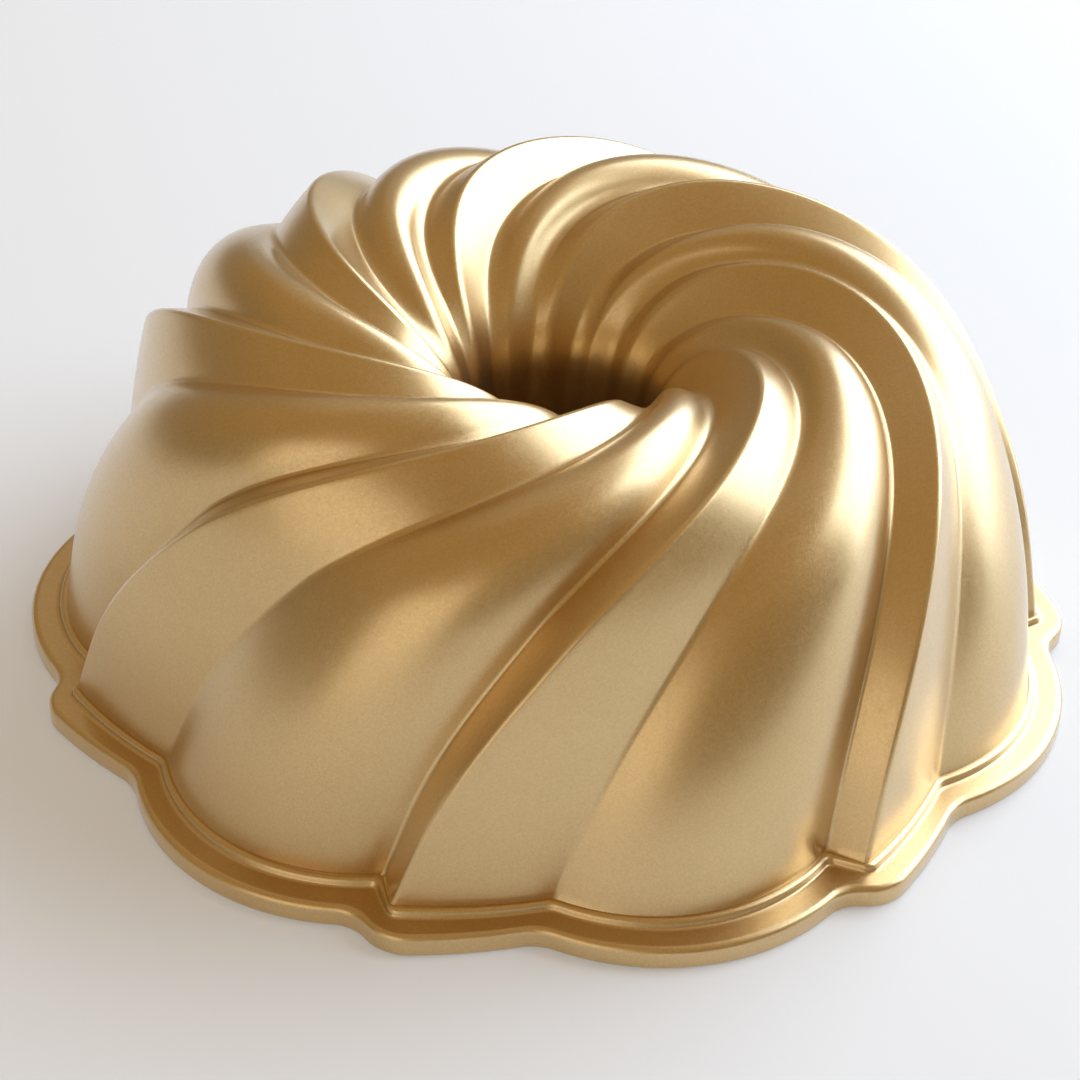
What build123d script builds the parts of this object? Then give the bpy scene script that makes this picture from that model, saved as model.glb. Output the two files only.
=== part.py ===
from build123d import *
import os
from math import cos, exp, pi, radians, sin, sqrt

# Swirl bundt pan, standing upside down on its rim as it is stored and displayed.
# +Z is up, z = 0 is the plane the rim rests on, the Z axis runs through the centre tube.
# All lengths are millimetres, all angles degrees.

# The pan is one repeat of ridge, facet, valley and lobe copied SEGMENTS times round the axis.
SEGMENTS = 7
SEGMENT = 360 / SEGMENTS
RIDGE_AT = -105.6

# Ridge line profile, from the foot of the wall, over the crown and down the tube:
# a drafted straight wall, three arcs that meet smoothly, and the straight tube.
FOOT_RADIUS = 120.0
FOOT_HEIGHT = 6.3
WALL_DRAFT = 10.0
WALL_STRAIGHT = 16.0
HAUNCH_RADIUS = 170.0
HAUNCH_END = 26.5
SHOULDER_RADIUS = 51.0
SHOULDER_END = 45.0
CROWN_RADIUS = 41.5
CROWN_END = 175.5
TUBE_END_HEIGHT = 10.0
NO_LENGTH = 1e-6

# Swirl: each line turns by PITCH degrees per millimetre of radius, less a LAG near the wall foot.
RIDGE_PITCH = 1.06
RIDGE_LAG = 1.6
VALLEY_PITCH = 1.17
VALLEY_LAG = 2.2
CREASE_PITCH = 0.985
CREASE_LAG = 1.7
LAG_RUN = 8.0

# Relief below the ridge line, at the valley and at the crease under the steep riser.
VALLEY_TURN = 16.9
VALLEY_DEPTH = 8.4
VALLEY_CROWN_DEPTH = 7.0
CREASE_TURN = -2.3
CREASE_DEPTH = 8.4
TUBE_RELIEF = 0.22
LOBE_DEPTH = 0.6
LOBE_CROWN_DEPTH = 1.6

# Rounding of the three lines, as the length of each tangent.
RIDGE_ROUND = 0.8
CREASE_ROUND = 0.8
VALLEY_ROUND = 1.0

# Rim flange round the wall foot.
FLANGE_WIDTH = 8.2
FLANGE_HEIGHT = 5.0
FLANGE_ROUND = 1.2
LIP_CHAMFER = 0.8
OUTLINE_RIDGE = (0.6, 127.9)
OUTLINE_VALLEY = (15.4, 118.6)
OUTLINE_CREASE = (-3.7, 121.9)
OUTLINE_LOBE = 127.8
OUTLINE_RIDGE_ROUND = 4.2
OUTLINE_NOTCH_ROUND = 3.4

# Small bead round the wall foot, as distances out from the foot and heights above the flange top,
# and the length up the wall at which it ends.
BEAD = ((3.0, 0.0), (2.5, 0.05), (2.15, 0.3), (1.95, 0.8), (1.7, 1.3), (1.25, 1.65), (0.7, 1.8), (0.25, 1.75))
WALL_START = 1.2

# Wall and finishes. The finishes are thickened so that they can be modelled as bodies.
WALL = 3.2
WALL_ACROSS = 1.12
RISER_SHIFT = 0.4
COAT = 0.4
COAT_START = 0.4

# Number of rings along each lofted band.
WALL_RINGS = 24


def smooth(low, high, value):
    """Ease from 0 to 1 as value goes from low to high."""
    t = min(max((value - low) / (high - low), 0.0), 1.0)
    return t * t * (3 - 2 * t)


def arcs():
    """The profile's arcs as radius, start angle, end angle."""
    return (
        (HAUNCH_RADIUS, WALL_DRAFT, HAUNCH_END),
        (SHOULDER_RADIUS, HAUNCH_END, SHOULDER_END),
        (CROWN_RADIUS, SHOULDER_END, CROWN_END),
    )


def profile(s):
    """Radius, height and outward normal angle of the ridge line at the length s from the foot."""
    angle = radians(WALL_DRAFT)
    reach = min(s, WALL_STRAIGHT)
    r = FOOT_RADIUS - reach * sin(angle)
    z = FOOT_HEIGHT + reach * cos(angle)
    s = s - reach
    for radius, start, end in arcs():
        turn = min(s / radius, radians(end - start))
        r += radius * (cos(radians(start) + turn) - cos(radians(start)))
        z += radius * (sin(radians(start) + turn) - sin(radians(start)))
        angle = radians(start) + turn
        s = s - turn * radius
        if s < NO_LENGTH:
            return r, z, angle
    return r - s * sin(angle), z + s * cos(angle), angle


def profile_length():
    """Length of the ridge line from the foot to the end of the tube."""
    curved = WALL_STRAIGHT + sum(radius * radians(end - start) for radius, start, end in arcs())
    top = profile(curved)[1]
    return curved + (top - TUBE_END_HEIGHT) / -cos(radians(CROWN_END))


def swirl(inward, pitch, lag):
    """Turn of a swirl line that has come inward by the given radius."""
    return pitch * inward - lag * (1 - exp(-max(inward, 0.0) / LAG_RUN))


class Ring:
    """One closed section of the pan, given by its corners in one repeat."""

    def __init__(self, r, z, lean):
        self.r = r
        self.z = z
        self.lean = lean
        self.spread = 1.0

    def place(self, turn, depth):
        """Point at a turn in degrees and a depth below the ridge line."""
        r = self.r - depth * cos(self.lean)
        z = self.z - depth * sin(self.lean)
        turn = radians(turn)
        return Vector(r * cos(turn), r * sin(turn), z)

    def pace(self, turn, depth, turn_rate, depth_rate):
        """Derivative of place() for the given rates of turn and depth."""
        r = self.r - depth * cos(self.lean)
        turn = radians(turn)
        round_part = radians(turn_rate) * r
        in_part = -depth_rate * cos(self.lean)
        return Vector(
            in_part * cos(turn) - round_part * sin(turn),
            in_part * sin(turn) + round_part * cos(turn),
            -depth_rate * sin(self.lean),
        )


def wall_ring(s, inset=0.0, across=0.0):
    """Ring of the wall at the length s, moved inward by inset; across moves the risers."""
    r, z, angle = profile(s)
    span = radians(CROWN_END - WALL_DRAFT)
    ring = Ring(r, z, (angle - radians(WALL_DRAFT)) * pi / span)
    crown = smooth(0.1, 0.38, s / LENGTH)
    fade = 1 - (1 - TUBE_RELIEF) * smooth(0.55, 0.78, s / LENGTH)
    valley = (VALLEY_DEPTH + (VALLEY_CROWN_DEPTH - VALLEY_DEPTH) * crown) * fade
    crease = CREASE_DEPTH * fade
    lobe = (LOBE_DEPTH + (LOBE_CROWN_DEPTH - LOBE_DEPTH) * crown) * fade
    drop = cos(ring.lean)
    inward = FOOT_RADIUS - r
    ridge_turn = RIDGE_AT + swirl(inward, RIDGE_PITCH, RIDGE_LAG)
    valley_turn = RIDGE_AT + VALLEY_TURN
    valley_turn += swirl(inward + valley * drop - VALLEY_DEPTH, VALLEY_PITCH, VALLEY_LAG)
    crease_turn = RIDGE_AT + CREASE_TURN
    crease_turn += swirl(inward + crease * drop - CREASE_DEPTH, CREASE_PITCH, CREASE_LAG)
    shift = across * (1 - smooth(0.1, 0.4, s / LENGTH)) / radians(r)
    ring.ridge = (ridge_turn + shift, inset)
    ring.valley = (valley_turn + shift / 2, valley + inset)
    ring.crease = (crease_turn + shift, crease + inset)
    ring.lobe = lobe + inset
    ahead = profile(s + 1)[0]
    slope = radians(swirl(FOOT_RADIUS - ahead, RIDGE_PITCH, RIDGE_LAG) - ridge_turn + RIDGE_AT)
    ring.spread = sqrt(1 + (r * slope) ** 2)
    ring.rounds = (RIDGE_ROUND, CREASE_ROUND, VALLEY_ROUND)
    return ring


def blend(foot, outline, share):
    """Value between the wall foot and the flange outline."""
    return foot + (outline - foot) * share


def flange_ring(out, z):
    """Level ring of the rim, at the distance out from the wall foot."""
    share = out / FLANGE_WIDTH
    r = blend(FOOT_RADIUS, OUTLINE_RIDGE[1], share)
    ring = Ring(r, z, 0.0)
    valley_r = blend(FOOT_RADIUS - VALLEY_DEPTH, OUTLINE_VALLEY[1], share)
    crease_r = blend(FOOT_RADIUS - CREASE_DEPTH, OUTLINE_CREASE[1], share)
    lobe_r = blend(FOOT_RADIUS - LOBE_DEPTH, OUTLINE_LOBE, share)
    ring.ridge = (RIDGE_AT + blend(0.0, OUTLINE_RIDGE[0], share), 0.0)
    ring.valley = (RIDGE_AT + blend(VALLEY_TURN, OUTLINE_VALLEY[0], share), r - valley_r)
    ring.crease = (RIDGE_AT + blend(CREASE_TURN, OUTLINE_CREASE[0], share), r - crease_r)
    ring.lobe = r - lobe_r
    wide = max(share, 0.0)
    ring.rounds = (
        blend(RIDGE_ROUND, OUTLINE_RIDGE_ROUND, wide),
        blend(CREASE_ROUND, OUTLINE_NOTCH_ROUND, wide),
        blend(VALLEY_ROUND, OUTLINE_NOTCH_ROUND, wide),
    )
    return ring


def trim(ring, corner, other, length):
    """Point on the straight run from corner to other, at the tangent length from the corner."""
    size = (ring.place(*corner) - ring.place(*other)).length
    share = min(length * ring.spread / size, 0.45)
    turn = corner[0] + (other[0] - corner[0]) * share
    depth = corner[1] + (other[1] - corner[1]) * share
    return turn, depth


def curve(start, start_rate, end, end_rate):
    """Cubic edge through two points with the given derivatives."""
    return Edge.make_bezier(start, start + start_rate / 3, end - end_rate / 3, end)


def lobe_depth(ring, t):
    """Depth and its rate across the lobe, for t from -1 at the valley to 1 at the crease."""
    low = ring.valley[1]
    high = ring.crease[1]
    bulge = (low + high) / 2 - ring.lobe
    depth = (low + high) / 2 + (high - low) / 2 * t - bulge * (1 - t * t)
    return depth, (high - low) / 2 + 2 * bulge * t


def repeat_wire(ring):
    """The section of one repeat: lobe, crease round, riser, ridge round, facet, valley round."""
    ridge_round, crease_round, valley_round = ring.rounds
    ridge = (ring.ridge[0] + SEGMENT, ring.ridge[1])
    crease = (ring.crease[0] + SEGMENT, ring.crease[1])
    valley = (ring.valley[0] + SEGMENT, ring.valley[1])
    half = (crease[0] - ring.valley[0]) / 2
    middle = (crease[0] + ring.valley[0]) / 2
    arc = radians(half) * ring.r
    t0 = -1 + valley_round * ring.spread / arc
    t1 = 1 - crease_round * ring.spread / arc

    def lobe_point(t):
        return middle + half * t, lobe_depth(ring, t)[0]

    def lobe_pace(t, span):
        depth, rate = lobe_depth(ring, t)
        return ring.pace(middle + half * t, depth, half * span, rate * span)

    def run_pace(at, a, b):
        return ring.pace(*at, b[0] - a[0], b[1] - a[1])

    riser_low = trim(ring, crease, ridge, crease_round)
    riser_high = trim(ring, ridge, crease, ridge_round)
    facet_high = trim(ring, ridge, valley, ridge_round)
    facet_low = trim(ring, valley, ridge, valley_round)
    after = (ring.valley[0] + half * (t0 + 1) + SEGMENT, lobe_depth(ring, t0)[0])
    steps = [t0 + (t1 - t0) * i / 3 for i in range(4)]
    edges = []
    for a, b in zip(steps, steps[1:]):
        start = ring.place(*lobe_point(a))
        end = ring.place(*lobe_point(b))
        edges.append(curve(start, lobe_pace(a, b - a), end, lobe_pace(b, b - a)))
    lead = lobe_pace(t1, (1 - t1) * 1.5)
    climb = run_pace(riser_low, crease, riser_low) * 1.5
    edges.append(curve(ring.place(*lobe_point(t1)), lead, ring.place(*riser_low), climb))
    start_rate = run_pace(riser_low, riser_low, riser_high)
    end_rate = run_pace(riser_high, riser_low, riser_high)
    edges.append(curve(ring.place(*riser_low), start_rate, ring.place(*riser_high), end_rate))
    over = run_pace(riser_high, riser_high, ridge) * 1.5
    down = run_pace(facet_high, ridge, facet_high) * 1.5
    edges.append(curve(ring.place(*riser_high), over, ring.place(*facet_high), down))
    start_rate = run_pace(facet_high, facet_high, facet_low)
    end_rate = run_pace(facet_low, facet_high, facet_low)
    edges.append(curve(ring.place(*facet_high), start_rate, ring.place(*facet_low), end_rate))
    into = run_pace(facet_low, facet_low, valley) * 1.5
    depth, rate = lobe_depth(ring, t0)
    lead = (t0 + 1) * 1.5
    away = ring.pace(*after, half * lead, rate * lead)
    edges.append(curve(ring.place(*facet_low), into, ring.place(*after), away))
    return Wire(edges)


def band(rings, ruled=False):
    """Faces of all the repeats between the given rings."""
    faces = Shell.make_loft([repeat_wire(ring) for ring in rings], ruled).faces()
    turned = []
    for number in range(SEGMENTS):
        for face in faces:
            turned.append(face.rotate(Axis.Z, SEGMENT * number))
    return turned


def loop(ring):
    """Closed wire round all the repeats of one ring."""
    edges = []
    for number in range(SEGMENTS):
        for edge in repeat_wire(ring).edges():
            edges.append(edge.rotate(Axis.Z, SEGMENT * number))
    return Wire(edges)


def cap(outer, inner):
    """Flat face between two level rings."""
    return Face(loop(outer), [loop(inner)])


LENGTH = profile_length()


def stations(start):
    """Lengths of the wall rings, from the given start to the end of the tube."""
    return [start + (LENGTH - start) * i / WALL_RINGS for i in range(WALL_RINGS + 1)]


def outside(grow, start):
    """Faces of the outside of the pan, moved outward by grow: rim, bead, wall, crown, tube."""
    edge = FLANGE_WIDTH + grow
    top = FLANGE_HEIGHT + grow
    knee = FLANGE_ROUND + grow
    faces = band([flange_ring(edge, start), flange_ring(edge, FLANGE_HEIGHT - FLANGE_ROUND)], True)
    turns = [radians(15 * i) for i in range(7)]
    rounding = [flange_ring(edge - knee + knee * cos(a), top - knee + knee * sin(a)) for a in turns]
    faces += band(rounding)
    faces += band([rounding[-1], flange_ring(BEAD[0][0], top)], True)
    lifts = [flange_ring(out, top + lift) for out, lift in BEAD]
    faces += band(lifts + [wall_ring(WALL_START, -grow)], True)
    faces += band([wall_ring(s, -grow) for s in stations(WALL_START)])
    return faces


def inner_ring(s, inset):
    """Ring of the inside surface at the length s, moved into the cavity by inset."""
    return wall_ring(s, WALL * WALL_ACROSS + inset, RISER_SHIFT * WALL)


def length_at(z):
    """Length along the straight foot of the wall at the height z."""
    return (z - FOOT_HEIGHT) / cos(radians(WALL_DRAFT))


def inside(inset):
    """Faces of the inside of the cake ring above the lip chamfer."""
    return band([inner_ring(s, inset) for s in stations(length_at(LIP_CHAMFER))])


def close(faces):
    """Solid from the faces that bound it."""
    return Solid(Shell(faces))


def casting_faces():
    """Faces of the cast body: outside, inside, lip chamfer, rim face and tube end."""
    lip = inner_ring(length_at(0), -LIP_CHAMFER)
    faces = outside(0.0, 0.0) + inside(0.0)
    faces += band([lip, inner_ring(length_at(LIP_CHAMFER), 0.0)], True)
    faces.append(cap(flange_ring(FLANGE_WIDTH, 0), lip))
    faces.append(cap(inner_ring(LENGTH, 0.0), wall_ring(LENGTH)))
    return faces


def coat_faces():
    """Faces of the gold coat: a skin over the whole outside, stopping just above the rim face."""
    start = COAT_START
    faces = outside(COAT, start) + outside(0.0, start)
    outer = flange_ring(FLANGE_WIDTH + COAT, start)
    faces.append(cap(outer, flange_ring(FLANGE_WIDTH, start)))
    faces.append(cap(wall_ring(LENGTH), wall_ring(LENGTH, -COAT)))
    return faces


def lining_faces():
    """Faces of the nonstick lining: a skin over the whole inside above the lip chamfer."""
    low = length_at(LIP_CHAMFER)
    faces = inside(0.0) + inside(COAT)
    faces.append(cap(inner_ring(low, 0.0), inner_ring(low, COAT)))
    faces.append(cap(inner_ring(LENGTH, COAT), inner_ring(LENGTH, 0.0)))
    return faces


with BuildPart() as pan_casting:
    add(close(casting_faces()))

with BuildPart() as exterior_coat:
    add(close(coat_faces()))

with BuildPart() as nonstick_lining:
    add(close(lining_faces()))

os.makedirs("parts", exist_ok=True)
pan_casting.part.label = "pan_casting"
exterior_coat.part.label = "exterior_coat"
nonstick_lining.part.label = "nonstick_lining"
export_step(pan_casting.part, "parts/pan_casting.step")
export_step(exterior_coat.part, "parts/exterior_coat.step")
export_step(nonstick_lining.part, "parts/nonstick_lining.step")
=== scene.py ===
from math import cos, exp, pi, radians, sin, sqrt

import bpy
import numpy as np
from mathutils import Matrix, Vector


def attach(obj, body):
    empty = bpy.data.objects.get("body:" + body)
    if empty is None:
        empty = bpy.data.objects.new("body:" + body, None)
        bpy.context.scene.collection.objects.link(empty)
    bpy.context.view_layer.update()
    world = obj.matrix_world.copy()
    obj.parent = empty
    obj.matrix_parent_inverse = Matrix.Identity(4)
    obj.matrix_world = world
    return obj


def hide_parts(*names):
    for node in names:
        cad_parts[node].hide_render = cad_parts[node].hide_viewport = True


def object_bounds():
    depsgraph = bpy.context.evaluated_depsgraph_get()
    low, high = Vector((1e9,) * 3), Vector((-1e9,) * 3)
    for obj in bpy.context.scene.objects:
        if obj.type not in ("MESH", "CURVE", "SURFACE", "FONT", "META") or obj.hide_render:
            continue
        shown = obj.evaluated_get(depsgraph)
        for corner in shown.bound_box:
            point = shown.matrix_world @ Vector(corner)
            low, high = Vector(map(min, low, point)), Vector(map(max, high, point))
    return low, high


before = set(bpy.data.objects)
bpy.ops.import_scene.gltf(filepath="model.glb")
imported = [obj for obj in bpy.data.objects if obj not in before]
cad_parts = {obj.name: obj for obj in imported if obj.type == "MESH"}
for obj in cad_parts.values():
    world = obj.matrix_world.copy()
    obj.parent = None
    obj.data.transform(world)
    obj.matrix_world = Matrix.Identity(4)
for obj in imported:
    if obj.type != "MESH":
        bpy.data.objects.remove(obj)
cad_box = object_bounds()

# Looks of the swirl bundt pan, standing upside down on its rim. The casting, its gold coat and its
# nonstick lining are made here again as finer meshes on the formulas of the CAD source. Those
# formulas work in millimetres and degrees, and everything that Blender is given is in metres.
MM = 0.001

# ---------------------------------------------------------------- the pan's geometry, as in part.py
SEGMENTS = 7
SEGMENT = 360 / SEGMENTS
RIDGE_AT = -105.6

FOOT_RADIUS = 120.0
FOOT_HEIGHT = 6.3
WALL_DRAFT = 10.0
WALL_STRAIGHT = 16.0
HAUNCH_RADIUS = 170.0
HAUNCH_END = 26.5
SHOULDER_RADIUS = 51.0
SHOULDER_END = 45.0
CROWN_RADIUS = 41.5
CROWN_END = 175.5
TUBE_END_HEIGHT = 10.0
NO_LENGTH = 1e-6

RIDGE_PITCH = 1.06
RIDGE_LAG = 1.6
VALLEY_PITCH = 1.17
VALLEY_LAG = 2.2
CREASE_PITCH = 0.985
CREASE_LAG = 1.7
LAG_RUN = 8.0

VALLEY_TURN = 16.9
VALLEY_DEPTH = 8.4
VALLEY_CROWN_DEPTH = 7.0
CREASE_TURN = -2.3
CREASE_DEPTH = 8.4
TUBE_RELIEF = 0.22
LOBE_DEPTH = 0.6
LOBE_CROWN_DEPTH = 1.6

RIDGE_ROUND = 0.8
CREASE_ROUND = 0.8
VALLEY_ROUND = 1.0
# From the crown into the tube the rounds grow to these. The CAD keeps the three sizes above.
TUBE_RIDGE_ROUND = 1.3
TUBE_CREASE_ROUND = 2.2
TUBE_VALLEY_ROUND = 3.0

FLANGE_WIDTH = 8.2
FLANGE_HEIGHT = 5.0
FLANGE_ROUND = 1.2
LIP_CHAMFER = 0.8
OUTLINE_RIDGE = (0.6, 127.9)
OUTLINE_VALLEY = (15.4, 118.6)
OUTLINE_CREASE = (-3.7, 121.9)
OUTLINE_LOBE = 127.8
OUTLINE_RIDGE_ROUND = 4.2
OUTLINE_NOTCH_ROUND = 3.4
# The bead's section as distances out from the wall foot and up from the flange.
BEAD = (
    (3.0, 0.0), (2.5, 0.05), (2.15, 0.3), (1.95, 0.8),
    (1.7, 1.3), (1.25, 1.65), (0.7, 1.8), (0.25, 1.75),
)
WALL_START = 1.2

WALL = 3.2
WALL_ACROSS = 1.12
RISER_SHIFT = 0.4
COAT = 0.4
COAT_START = 0.4

# Mesh density: quads along each stretch of a section, and rings along each band.
LOBE_QUADS = 9
ROUND_QUADS = 6
RISER_QUADS = 5
FACET_QUADS = 8
EDGE_RINGS = 8
BEAD_STEPS = 3
WALL_RINGS = 124
HIDDEN_RINGS = 50
HIDDEN_EDGE_RINGS = 4
# Width of the first row of quads beside a rounded edge, which keeps the flat beside it flat.
EDGE_BAND = 0.3
# How far the quads of a flat run crowd towards its ends, from 0 to 1.
CROWD = 0.75
# Pull of a rounding's ends towards its corner, in tangent lengths.
ROUND_PULL = 1.5
# A rounding takes at most this share of the flat run beside it.
LONGEST_TRIM = 0.45
SHARP_ANGLE = 30


def smooth(low, high, value):
    """Ease from 0 to 1 as value goes from low to high."""
    t = min(max((value - low) / (high - low), 0.0), 1.0)
    return t * t * (3 - 2 * t)


def arcs():
    """The profile's arcs as radius, start angle, end angle."""
    return (
        (HAUNCH_RADIUS, WALL_DRAFT, HAUNCH_END),
        (SHOULDER_RADIUS, HAUNCH_END, SHOULDER_END),
        (CROWN_RADIUS, SHOULDER_END, CROWN_END),
    )


def profile(s):
    """Radius, height and outward normal angle of the ridge line at the length s from the foot."""
    angle = radians(WALL_DRAFT)
    reach = min(s, WALL_STRAIGHT)
    r = FOOT_RADIUS - reach * sin(angle)
    z = FOOT_HEIGHT + reach * cos(angle)
    s = s - reach
    for radius, start, end in arcs():
        turn = min(s / radius, radians(end - start))
        r += radius * (cos(radians(start) + turn) - cos(radians(start)))
        z += radius * (sin(radians(start) + turn) - sin(radians(start)))
        angle = radians(start) + turn
        s = s - turn * radius
        if s < NO_LENGTH:
            return r, z, angle
    return r - s * sin(angle), z + s * cos(angle), angle


def profile_length():
    """Length of the ridge line from the foot to the end of the tube."""
    curved = WALL_STRAIGHT + sum(radius * radians(end - start) for radius, start, end in arcs())
    top = profile(curved)[1]
    return curved + (top - TUBE_END_HEIGHT) / -cos(radians(CROWN_END))


LENGTH = profile_length()


def swirl(inward, pitch, lag):
    """Turn of a swirl line that has come inward by the given radius."""
    return pitch * inward - lag * (1 - exp(-max(inward, 0.0) / LAG_RUN))


class Ring:
    """One closed section of the pan, given by its corners (turn, depth) in one repeat."""

    def __init__(self, r, z, lean):
        self.r = r
        self.z = z
        self.lean = lean
        self.spread = 1.0

    def place(self, turn, depth):
        """Point at a turn in degrees and a depth below the ridge line."""
        r = self.r - depth * cos(self.lean)
        z = self.z - depth * sin(self.lean)
        return np.array((r * cos(radians(turn)), r * sin(radians(turn)), z))

    def pace(self, turn, depth, turn_rate, depth_rate):
        """Derivative of place() for the given rates of turn and depth."""
        r = self.r - depth * cos(self.lean)
        turn = radians(turn)
        round_part = radians(turn_rate) * r
        in_part = -depth_rate * cos(self.lean)
        x = in_part * cos(turn) - round_part * sin(turn)
        y = in_part * sin(turn) + round_part * cos(turn)
        return np.array((x, y, -depth_rate * sin(self.lean)))


def wall_ring(s, inset=0.0, across=0.0):
    """Ring of the wall at the length s, moved inward by inset; across moves the risers."""
    r, z, angle = profile(s)
    span = radians(CROWN_END - WALL_DRAFT)
    ring = Ring(r, z, (angle - radians(WALL_DRAFT)) * pi / span)
    crown = smooth(0.1, 0.38, s / LENGTH)
    fade = 1 - (1 - TUBE_RELIEF) * smooth(0.55, 0.78, s / LENGTH)
    valley = (VALLEY_DEPTH + (VALLEY_CROWN_DEPTH - VALLEY_DEPTH) * crown) * fade
    crease = CREASE_DEPTH * fade
    lobe = (LOBE_DEPTH + (LOBE_CROWN_DEPTH - LOBE_DEPTH) * crown) * fade
    drop = cos(ring.lean)
    inward = FOOT_RADIUS - r
    ridge_turn = RIDGE_AT + swirl(inward, RIDGE_PITCH, RIDGE_LAG)
    valley_turn = RIDGE_AT + VALLEY_TURN
    valley_turn += swirl(inward + valley * drop - VALLEY_DEPTH, VALLEY_PITCH, VALLEY_LAG)
    crease_turn = RIDGE_AT + CREASE_TURN
    crease_turn += swirl(inward + crease * drop - CREASE_DEPTH, CREASE_PITCH, CREASE_LAG)
    shift = across * (1 - smooth(0.1, 0.4, s / LENGTH)) / radians(r)
    ring.ridge = (ridge_turn + shift, inset)
    ring.valley = (valley_turn + shift / 2, valley + inset)
    ring.crease = (crease_turn + shift, crease + inset)
    ring.lobe = lobe + inset
    ahead = profile(s + 1)[0]
    slope = radians(swirl(FOOT_RADIUS - ahead, RIDGE_PITCH, RIDGE_LAG) - ridge_turn + RIDGE_AT)
    ring.spread = sqrt(1 + (r * slope) ** 2)
    soft = smooth(0.4, 0.75, s / LENGTH)
    ring.rounds = (
        between(RIDGE_ROUND, TUBE_RIDGE_ROUND, soft),
        between(CREASE_ROUND, TUBE_CREASE_ROUND, soft),
        between(VALLEY_ROUND, TUBE_VALLEY_ROUND, soft),
    )
    return ring


def between(first, last, share):
    """Value at the given share of the way from first to last."""
    return first + (last - first) * share


def flange_ring(out, z):
    """Level ring of the rim, at the distance out from the wall foot."""
    share = out / FLANGE_WIDTH
    r = between(FOOT_RADIUS, OUTLINE_RIDGE[1], share)
    ring = Ring(r, z, 0.0)
    valley_r = between(FOOT_RADIUS - VALLEY_DEPTH, OUTLINE_VALLEY[1], share)
    crease_r = between(FOOT_RADIUS - CREASE_DEPTH, OUTLINE_CREASE[1], share)
    lobe_r = between(FOOT_RADIUS - LOBE_DEPTH, OUTLINE_LOBE, share)
    ring.ridge = (RIDGE_AT + between(0.0, OUTLINE_RIDGE[0], share), 0.0)
    ring.valley = (RIDGE_AT + between(VALLEY_TURN, OUTLINE_VALLEY[0], share), r - valley_r)
    ring.crease = (RIDGE_AT + between(CREASE_TURN, OUTLINE_CREASE[0], share), r - crease_r)
    ring.lobe = r - lobe_r
    ring.rounds = (
        between(RIDGE_ROUND, OUTLINE_RIDGE_ROUND, share),
        between(CREASE_ROUND, OUTLINE_NOTCH_ROUND, share),
        between(VALLEY_ROUND, OUTLINE_NOTCH_ROUND, share),
    )
    return ring


def trim(ring, corner, other, length):
    """Point on the straight run from corner to other, at the tangent length from the corner."""
    size = np.linalg.norm(ring.place(*corner) - ring.place(*other))
    share = min(length * ring.spread / size, LONGEST_TRIM)
    turn = corner[0] + (other[0] - corner[0]) * share
    depth = corner[1] + (other[1] - corner[1]) * share
    return turn, depth


def lobe_depth(ring, t):
    """Depth and its rate across the lobe, for t from -1 at the valley to 1 at the crease."""
    low = ring.valley[1]
    high = ring.crease[1]
    bulge = (low + high) / 2 - ring.lobe
    depth = (low + high) / 2 + (high - low) / 2 * t - bulge * (1 - t * t)
    return depth, (high - low) / 2 + 2 * bulge * t


def curve(start, start_rate, end, end_rate, quads, crowd=0.0):
    """Points along the cubic through two points with the given derivatives, without its end.

    crowd from 0 to 1 draws the points towards both ends, where a flat run meets a rounding."""
    t = np.arange(quads) / quads
    t = (t * (1 - crowd) + crowd * (1 - np.cos(pi * t)) / 2)[:, None]
    a = start + start_rate / 3
    b = end - end_rate / 3
    u = 1 - t
    return u ** 3 * start + 3 * u * u * t * a + 3 * u * t * t * b + t ** 3 * end


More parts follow.
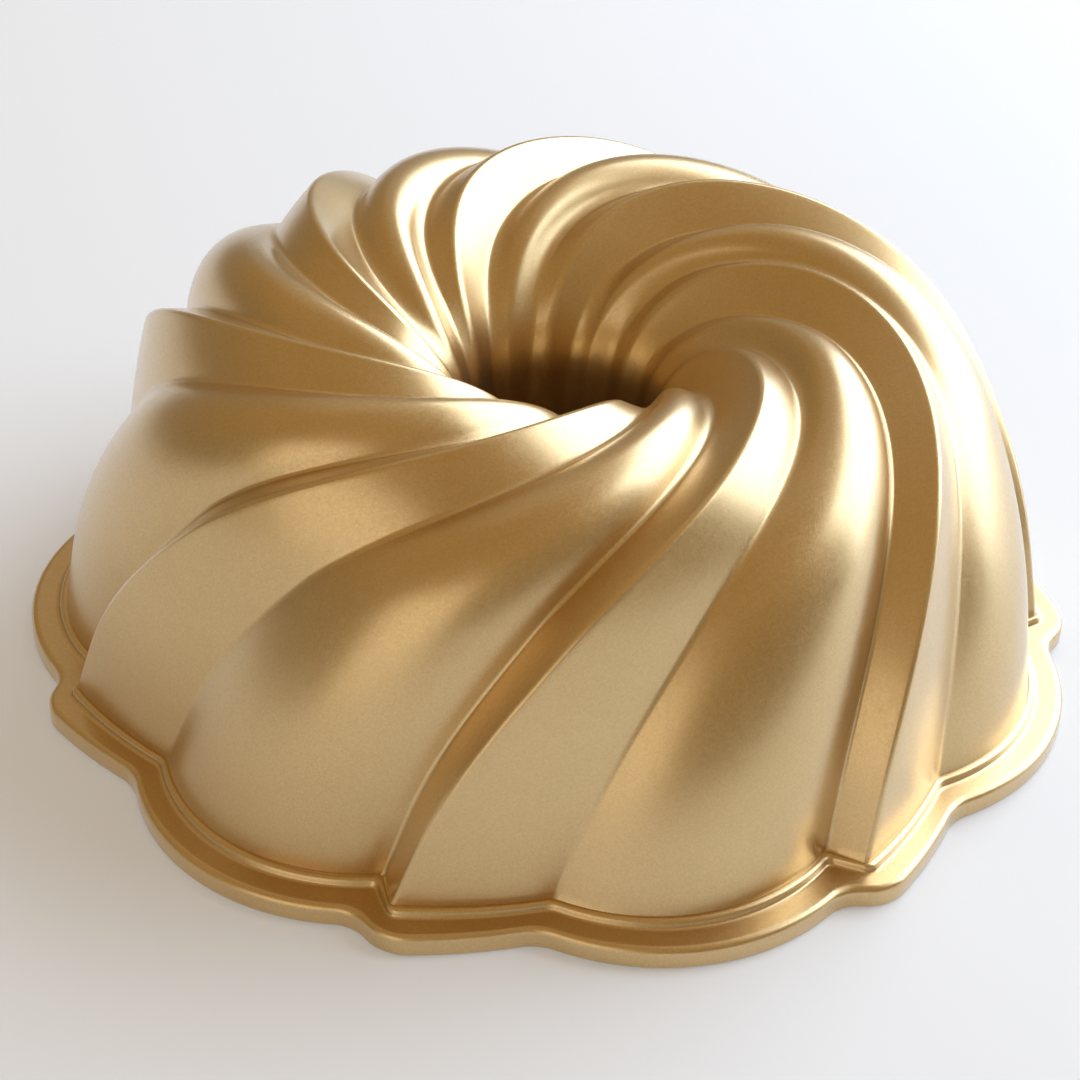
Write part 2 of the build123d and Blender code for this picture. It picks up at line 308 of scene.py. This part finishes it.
def repeat_points(ring):
    """Points of one repeat: lobe, crease round, riser, ridge round, facet, valley round."""
    ridge_round, crease_round, valley_round = ring.rounds
    ridge = (ring.ridge[0] + SEGMENT, ring.ridge[1])
    crease = (ring.crease[0] + SEGMENT, ring.crease[1])
    valley = (ring.valley[0] + SEGMENT, ring.valley[1])
    half = (crease[0] - ring.valley[0]) / 2
    middle = (crease[0] + ring.valley[0]) / 2
    arc = radians(half) * ring.r
    t0 = -1 + valley_round * ring.spread / arc
    t1 = 1 - crease_round * ring.spread / arc

    def lobe_point(t):
        return ring.place(middle + half * t, lobe_depth(ring, t)[0])

    def lobe_pace(t, span):
        depth, rate = lobe_depth(ring, t)
        return ring.pace(middle + half * t, depth, half * span, rate * span)

    def run(a, b, quads):
        ends = [ring.pace(*at, b[0] - a[0], b[1] - a[1]) for at in (a, b)]
        return curve(ring.place(*a), ends[0], ring.place(*b), ends[1], quads, CROWD)

    def rounding(a, corner, b):
        into = ring.pace(*a, corner[0] - a[0], corner[1] - a[1]) * ROUND_PULL
        away = ring.pace(*b, b[0] - corner[0], b[1] - corner[1]) * ROUND_PULL
        return curve(ring.place(*a), into, ring.place(*b), away, ROUND_QUADS)

    riser_low = trim(ring, crease, ridge, crease_round)
    riser_high = trim(ring, ridge, crease, ridge_round)
    facet_high = trim(ring, ridge, valley, ridge_round)
    facet_low = trim(ring, valley, ridge, valley_round)
    steps = [t0 + (t1 - t0) * i / 3 for i in range(4)]
    points = []
    for a, b in zip(steps, steps[1:]):
        rates = (lobe_pace(a, b - a), lobe_pace(b, b - a))
        points.append(curve(lobe_point(a), rates[0], lobe_point(b), rates[1], LOBE_QUADS))
    into = lobe_pace(t1, (1 - t1) * ROUND_PULL)
    climb = ring.pace(*riser_low, riser_low[0] - crease[0], riser_low[1] - crease[1]) * ROUND_PULL
    points.append(curve(lobe_point(t1), into, ring.place(*riser_low), climb, ROUND_QUADS))
    points.append(run(riser_low, riser_high, RISER_QUADS))
    points.append(rounding(riser_high, ridge, facet_high))
    points.append(run(facet_high, facet_low, FACET_QUADS))
    into = ring.pace(*facet_low, valley[0] - facet_low[0], valley[1] - facet_low[1]) * ROUND_PULL
    depth, rate = lobe_depth(ring, t0)
    after = (valley[0] + half * (t0 + 1), depth)
    lead = (t0 + 1) * ROUND_PULL
    away = ring.pace(*after, half * lead, rate * lead)
    points.append(curve(ring.place(*facet_low), into, ring.place(*after), away, ROUND_QUADS))
    return np.concatenate(points)


def ring_points(ring):
    """Points all round one ring."""
    one = repeat_points(ring)
    turned = []
    for number in range(SEGMENTS):
        a = radians(SEGMENT * number)
        spin = np.array(((cos(a), sin(a), 0), (-sin(a), cos(a), 0), (0, 0, 1)))
        turned.append(one @ spin)
    return np.concatenate(turned)


def stations(start, count):
    """Lengths of the wall rings, from the given start to the end of the tube."""
    return [start + (LENGTH - start) * i / count for i in range(count + 1)]


def passing(before, a, b, after, t):
    """Point between a and b on the smooth curve that passes through all four."""
    rate_a = (b - before) / 2
    rate_b = (after - a) / 2
    return (
        (2 * t ** 3 - 3 * t * t + 1) * a + (t ** 3 - 2 * t * t + t) * rate_a
        + (3 * t * t - 2 * t ** 3) * b + (t ** 3 - t * t) * rate_b
    )


def bead_rings(lift, count):
    """Rings up the small bead between the flange and the wall, with count steps per span."""
    path = [flange_ring(out, FLANGE_HEIGHT + lift + up) for out, up in BEAD]
    points = [ring_points(ring) for ring in path]
    points.append(ring_points(wall_ring(WALL_START, -lift)))
    rings = []
    for i in range(1, len(points) - 2):
        before, a, b, after = points[i - 1:i + 3]
        for step in range(count):
            rings.append(passing(before, a, b, after, step / count))
    return points[:1] + rings + points[-2:-1]


def outside_rings(grow, start, count, detail, steps):
    """Rings up the outside moved outward by grow, from the height start: rim edge, flange, bead,
    wall, crown and tube. There are count rings up the wall, detail rings round the rim's top edge
    and steps rings on each span of the bead."""
    edge = FLANGE_WIDTH + grow
    top = FLANGE_HEIGHT + grow
    knee = FLANGE_ROUND + grow
    rings = [flange_ring(edge, start), flange_ring(edge, start + EDGE_BAND)]
    rings.append(flange_ring(edge, top - knee - EDGE_BAND))
    for i in range(detail + 1):
        a = pi / 2 * i / detail
        rings.append(flange_ring(edge - knee + knee * cos(a), top - knee + knee * sin(a)))
    rings.append(flange_ring(edge - knee - EDGE_BAND, top))
    rings.append(flange_ring(BEAD[0][0] + EDGE_BAND, top))
    points = [ring_points(ring) for ring in rings]
    points += bead_rings(grow, steps)
    points += [ring_points(wall_ring(s, -grow)) for s in stations(WALL_START, count)]
    return points


def length_at(z):
    """Length along the straight foot of the wall at the height z."""
    return (z - FOOT_HEIGHT) / cos(radians(WALL_DRAFT))


def inside_rings(inset, count):
    """Rings up the inside of the cake ring, moved into the cavity by inset."""
    depth = WALL * WALL_ACROSS + inset
    lengths = stations(length_at(LIP_CHAMFER), count)
    return [ring_points(wall_ring(s, depth, RISER_SHIFT * WALL)) for s in lengths]


def skin(name, front, back, node, material):
    """Closed body between two lists of rings, standing for a CAD node."""
    rings = front + back[::-1]
    around = len(rings[0])
    points = np.concatenate(rings) * MM
    faces = []
    for i in range(len(rings)):
        for j in range(around):
            k = (j + 1) % around
            low, high = i * around, (i + 1) % len(rings) * around
            faces.append((low + j, low + k, high + k, high + j))
    mesh = bpy.data.meshes.new(name)
    mesh.from_pydata(points.tolist(), [], faces)
    mesh.validate()
    mesh.shade_smooth()
    mesh.set_sharp_from_angle(angle=radians(SHARP_ANGLE))
    piece = bpy.data.objects.new(name, mesh)
    bpy.context.scene.collection.objects.link(piece)
    piece.data.materials.append(material)
    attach(piece, "root")
    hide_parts(node)
    return piece


# ---------------------------------------------------------------- materials
def shader(name, color, metallic, roughness):
    """New material with an object-space coordinate, and its node tree, shader and coordinate."""
    material = bpy.data.materials.new(name)
    material.use_nodes = True
    tree = material.node_tree
    principled = tree.nodes["Principled BSDF"]
    principled.inputs["Base Color"].default_value = (*color, 1)
    principled.inputs["Metallic"].default_value = metallic
    principled.inputs["Roughness"].default_value = roughness
    place = tree.nodes.new("ShaderNodeTexCoord").outputs["Object"]
    return material, tree, principled, place


def noise(tree, place, size, detail=2.0, rough=0.5):
    """Noise whose features are about the given size in metres."""
    node = tree.nodes.new("ShaderNodeTexNoise")
    node.inputs["Scale"].default_value = 1 / size
    node.inputs["Detail"].default_value = detail
    node.inputs["Roughness"].default_value = rough
    tree.links.new(place, node.inputs["Vector"])
    return node.outputs["Fac"]


def flakes(tree, place, size):
    """Cells about the given size in metres, each with one random grey."""
    node = tree.nodes.new("ShaderNodeTexVoronoi")
    node.inputs["Scale"].default_value = 1 / size
    tree.links.new(place, node.inputs["Vector"])
    grey = tree.nodes.new("ShaderNodeSeparateColor")
    tree.links.new(node.outputs["Color"], grey.inputs["Color"])
    return grey.outputs["Red"]


def spread_to(tree, value, low, high, start=0.3, end=0.7):
    """The value eased from start..end onto low..high."""
    node = tree.nodes.new("ShaderNodeMapRange")
    node.inputs["From Min"].default_value = start
    node.inputs["From Max"].default_value = end
    node.inputs["To Min"].default_value = low
    node.inputs["To Max"].default_value = high
    tree.links.new(value, node.inputs["Value"])
    return node.outputs["Result"]


def tint(tree, value, dark, light):
    """Colour between dark and light."""
    node = tree.nodes.new("ShaderNodeMix")
    node.data_type = "RGBA"
    tree.links.new(value, node.inputs["Factor"])
    node.inputs["A"].default_value = (*dark, 1)
    node.inputs["B"].default_value = (*light, 1)
    return node.outputs["Result"]


def add_values(tree, first, second):
    """Sum of two values."""
    node = tree.nodes.new("ShaderNodeMath")
    node.operation = "ADD"
    tree.links.new(first, node.inputs[0])
    tree.links.new(second, node.inputs[1])
    return node.outputs["Value"]


def bump(tree, height, depth, under=None):
    """Normal raised by a height of 0 to 1 over the given depth in metres."""
    node = tree.nodes.new("ShaderNodeBump")
    node.inputs["Strength"].default_value = 1.0
    node.inputs["Distance"].default_value = depth
    tree.links.new(height, node.inputs["Height"])
    if under is not None:
        tree.links.new(under, node.inputs["Normal"])
    return node.outputs["Normal"]


def gold_enamel():
    """Satin metallic enamel: fine flake, a faint cloudiness and a slight cast ripple."""
    material, tree, principled, place = shader("gold_enamel", (0.67, 0.485, 0.245), 1.0, 0.36)
    fleck = flakes(tree, place, 0.00032)
    cloud = noise(tree, place, 0.03, 3.0)
    mixed = add_values(tree, spread_to(tree, fleck, 0.0, 0.6, 0.0, 1.0),
                       spread_to(tree, cloud, 0.0, 0.4))
    color = tint(tree, mixed, (0.60, 0.42, 0.185), (0.71, 0.515, 0.255))
    principled.inputs["Coat Weight"].default_value = 1.0
    principled.inputs["Coat Roughness"].default_value = 0.25
    tree.links.new(color, principled.inputs["Base Color"])
    grain = spread_to(tree, noise(tree, place, 0.0007, 2.0), 0.0, 0.1)
    rough = add_values(tree, spread_to(tree, cloud, 0.27, 0.32), grain)
    tree.links.new(rough, principled.inputs["Roughness"])
    ripple = bump(tree, noise(tree, place, 0.006, 1.0), 0.00002)
    tree.links.new(bump(tree, fleck, 0.0000035, ripple), principled.inputs["Normal"])
    return material


def nonstick_lining():
    """Semi-gloss nonstick in a darker gold, with a fine sprayed texture."""
    material, tree, principled, place = shader("nonstick", (0.42, 0.30, 0.15), 0.85, 0.34)
    spray = noise(tree, place, 0.0009, 2.0, 0.6)
    cloud = noise(tree, place, 0.025, 3.0)
    mixed = add_values(tree, spread_to(tree, spray, 0.0, 0.6), spread_to(tree, cloud, 0.0, 0.4))
    color = tint(tree, mixed, (0.33, 0.23, 0.105), (0.50, 0.365, 0.185))
    tree.links.new(color, principled.inputs["Base Color"])
    tree.links.new(spread_to(tree, cloud, 0.28, 0.38), principled.inputs["Roughness"])
    tree.links.new(bump(tree, spray, 0.000012), principled.inputs["Normal"])
    return material


def cast_metal():
    """Bare cast aluminium, ground flat at the rim, with a grainy skin and a blotchy tone."""
    material, tree, principled, place = shader("cast_metal", (0.62, 0.62, 0.63), 1.0, 0.4)
    grain = noise(tree, place, 0.0006, 4.0, 0.65)
    stain = noise(tree, place, 0.012, 3.0)
    mixed = add_values(tree, spread_to(tree, grain, 0.0, 0.5), spread_to(tree, stain, 0.0, 0.5))
    color = tint(tree, mixed, (0.46, 0.455, 0.45), (0.74, 0.74, 0.75))
    tree.links.new(color, principled.inputs["Base Color"])
    tree.links.new(spread_to(tree, grain, 0.3, 0.5), principled.inputs["Roughness"])
    tree.links.new(bump(tree, grain, 0.00003), principled.inputs["Normal"])
    return material


# ---------------------------------------------------------------- the pan
def coat_piece():
    """The gold finish over the whole outside, down to just above the rim face."""
    front = outside_rings(COAT, COAT_START, WALL_RINGS, EDGE_RINGS, BEAD_STEPS)
    back = outside_rings(0.0, COAT_START, HIDDEN_RINGS, HIDDEN_EDGE_RINGS, 1)
    return skin("gold_coat", front, back, "exterior_coat", gold_enamel())


def lining_piece():
    """The nonstick finish over the whole inside, down to the lip chamfer."""
    front = inside_rings(COAT, WALL_RINGS)
    back = inside_rings(0.0, HIDDEN_RINGS)
    return skin("cavity_lining", front, back, "nonstick_lining", nonstick_lining())


def casting_piece():
    """The cast body, which shows at the rim face, the lip chamfer and the end of the tube."""
    lip = wall_ring(length_at(0), WALL * WALL_ACROSS - LIP_CHAMFER, RISER_SHIFT * WALL)
    front = outside_rings(0.0, 0.0, HIDDEN_RINGS, HIDDEN_EDGE_RINGS, 1)
    back = [ring_points(lip)] + inside_rings(0.0, HIDDEN_RINGS)
    return skin("cast_body", front, back, "pan_casting", cast_metal())


coat_piece()
lining_piece()
casting_piece()

# ---------------------------------------------------------------- camera, floor and light
CAMERA_AT = (-0.00343, -0.50751, 0.38825)
CAMERA_ELEVATION = 35.93
CAMERA_ROLL = 2.19
CAMERA_LENS = 84.85
NEAREST_SEEN = 0.01
FLOOR_SIZE = 24.0
FLOOR_GAP = 0.0001
# The floor glows a little, as under a light tent, except in the shade under the pan.
FLOOR_GLOW = 0.22
UNDER_PAN = 0.11
# Every softbox faces this height above the middle of the rim face.
AIM_HEIGHT = 0.05
COOL_WHITE = (0.66, 0.8, 1.0)
WARM_WHITE = (1.0, 0.95, 0.88)


def make_camera():
    """Camera at the photograph's viewing angle."""
    camera = bpy.data.objects.new("camera", bpy.data.cameras.new("camera"))
    bpy.context.scene.collection.objects.link(camera)
    camera.data.lens = CAMERA_LENS
    tilt = Matrix.Rotation(radians(90 - CAMERA_ELEVATION), 4, "X")
    roll = Matrix.Rotation(radians(CAMERA_ROLL), 4, "Z")
    camera.matrix_world = Matrix.Translation(CAMERA_AT) @ tilt @ roll
    camera.data.clip_start = NEAREST_SEEN
    bpy.context.scene.camera = camera


def make_floor():
    """Pale floor just under the rim, which glows a little, with a painted shade under the pan where
    the glow stops.
    """
    half = FLOOR_SIZE / 2
    mesh = bpy.data.meshes.new("floor")
    corners = [(-half, -half, 0), (half, -half, 0), (half, half, 0), (-half, half, 0)]
    mesh.from_pydata(corners, [], [(0, 1, 2, 3)])
    floor = bpy.data.objects.new("floor", mesh)
    floor.location.z = cad_box[0].z - FLOOR_GAP
    bpy.context.scene.collection.objects.link(floor)
    material, tree, principled, place = shader("pale_floor", (0.74, 0.74, 0.74), 0.0, 0.7)
    principled.inputs["Emission Color"].default_value = (0.8, 0.9, 1.0, 1)
    reach = tree.nodes.new("ShaderNodeVectorMath")
    reach.operation = "LENGTH"
    tree.links.new(place, reach.inputs[0])
    # Painted shade: the glow fades to nothing inside UNDER_PAN of the middle, under the pan.
    glow = spread_to(tree, reach.outputs["Value"], 0.0, FLOOR_GLOW, UNDER_PAN, FOOT_RADIUS * MM)
    tree.links.new(glow, principled.inputs["Emission Strength"])
    floor.data.materials.append(material)


def softbox(name, azimuth, elevation, distance, width, height, radiance, color):
    """Rectangular light that faces the pan, with one radiance all over.

    Azimuth 0 is +Y, behind the pan, and 90 is +X."""
    light = bpy.data.lights.new(name, "AREA")
    light.shape = "RECTANGLE"
    light.size = width
    light.size_y = height
    light.energy = radiance * pi * width * height
    light.color = color
    a, e = radians(azimuth), radians(elevation)
    at = Vector((sin(a) * cos(e), cos(a) * cos(e), sin(e))) * distance
    box = bpy.data.objects.new(name, light)
    box.location = at
    box.rotation_euler = (at - Vector((0, 0, AIM_HEIGHT))).to_track_quat("Z", "Y").to_euler()
    bpy.context.scene.collection.objects.link(box)


def make_world(zenith, horizon):
    """Dim even light from all round, warmer overhead than at the horizon."""
    world = bpy.data.worlds.new("studio")
    world.use_nodes = True
    tree = world.node_tree
    place = tree.nodes.new("ShaderNodeTexCoord").outputs["Generated"]
    split = tree.nodes.new("ShaderNodeSeparateXYZ")
    tree.links.new(place, split.inputs["Vector"])
    up = spread_to(tree, split.outputs["Z"], 0.0, 1.0, 0.0, 0.7)
    color = tint(tree, up, horizon, zenith)
    tree.links.new(color, tree.nodes["Background"].inputs["Color"])
    bpy.context.scene.world = world


make_camera()
make_floor()
make_world((0.44, 0.30, 0.14), (0.27, 0.215, 0.14))
softbox("key", 58, 31, 1.6, 2.1, 1.7, 4.2, COOL_WHITE)
softbox("back_glow", 15, 48, 1.8, 2.2, 2.8, 0.13, (0.6, 0.78, 1.0))
softbox("front_fill", -152, 17, 1.8, 1.3, 1.0, 0.8, WARM_WHITE)
bpy.context.scene.view_settings.view_transform = "Standard"
